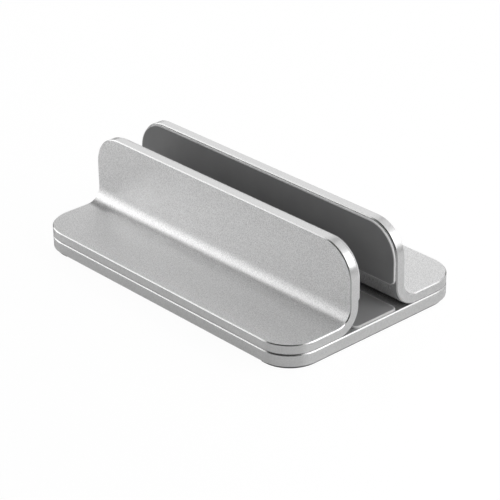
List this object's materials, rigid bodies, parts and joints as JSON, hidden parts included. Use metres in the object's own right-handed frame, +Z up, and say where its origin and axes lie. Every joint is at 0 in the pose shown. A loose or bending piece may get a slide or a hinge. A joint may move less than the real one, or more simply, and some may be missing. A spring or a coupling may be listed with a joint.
{
  "type": "vertical laptop stand",
  "caption": "Low metal stand that holds a closed laptop on edge between padded angle brackets, which slide across a rounded base plate and clamp from below.",
  "frame": {"origin": "on the floor under the middle of the stand, brackets where they are pictured", "axes": "+X along the laptop slot, +Y across it towards the rear bracket, +Z up"},
  "size_m": [0.175, 0.108, 0.0482],
  "materials": {
    "base_aluminium": "bead-blasted and anodised silver, bright cut edges",
    "bracket_aluminium": "bead-blasted and anodised silver, bright cut edges",
    "pad_silicone": "matte grey silicone",
    "foot_silicone": "matte grey silicone",
    "adhesive_film": "translucent double-sided film",
    "screw_steel": "plain stainless steel",
    "washer_steel": "plain stainless steel"
  },
  "bodies": {
    "base": {"base_plate": "base_aluminium", "base_pad": "pad_silicone", "base_pad_film": "adhesive_film", "right_foot_strip": "foot_silicone", "right_foot_film": "adhesive_film", "left_foot_strip": "foot_silicone", "left_foot_film": "adhesive_film"},
    "front_bracket": {"front_bracket": "bracket_aluminium", "front_bracket_pad": "pad_silicone", "front_pad_film": "adhesive_film", "front_washers": "washer_steel"},
    "rear_bracket": {"rear_bracket": "bracket_aluminium", "rear_bracket_pad": "pad_silicone", "rear_pad_film": "adhesive_film", "rear_washers": "washer_steel"},
    "rear_right_screw": {"rear_right_screw": "screw_steel"},
    "rear_left_screw": {"rear_left_screw": "screw_steel"},
    "front_right_screw": {"front_right_screw": "screw_steel"},
    "front_left_screw": {"front_left_screw": "screw_steel"}
  },
  "joints": [
    {"name": "front_bracket_slide", "type": "slide", "parent": "base", "child": "front_bracket", "axis": [0, -1, 0], "range_m": [-0.0035, 0.0105]},
    {"name": "rear_bracket_slide", "type": "slide", "parent": "base", "child": "rear_bracket", "axis": [0, 1, 0], "range_m": [-0.0035, 0.0105]},
    {"name": "rear_right_screw_turn", "type": "hinge", "parent": "rear_bracket", "child": "rear_right_screw", "pos_m": [0.05, 0.034, 0.0046], "axis": [0, 0, -1], "range_deg": [0, 360]},
    {"name": "rear_left_screw_turn", "type": "hinge", "parent": "rear_bracket", "child": "rear_left_screw", "pos_m": [-0.05, 0.034, 0.0046], "axis": [0, 0, -1], "range_deg": [0, 360]},
    {"name": "front_right_screw_turn", "type": "hinge", "parent": "front_bracket", "child": "front_right_screw", "pos_m": [0.05, -0.034, 0.0046], "axis": [0, 0, -1], "range_deg": [0, 360]},
    {"name": "front_left_screw_turn", "type": "hinge", "parent": "front_bracket", "child": "front_left_screw", "pos_m": [-0.05, -0.034, 0.0046], "axis": [0, 0, -1], "range_deg": [0, 360]}
  ]
}
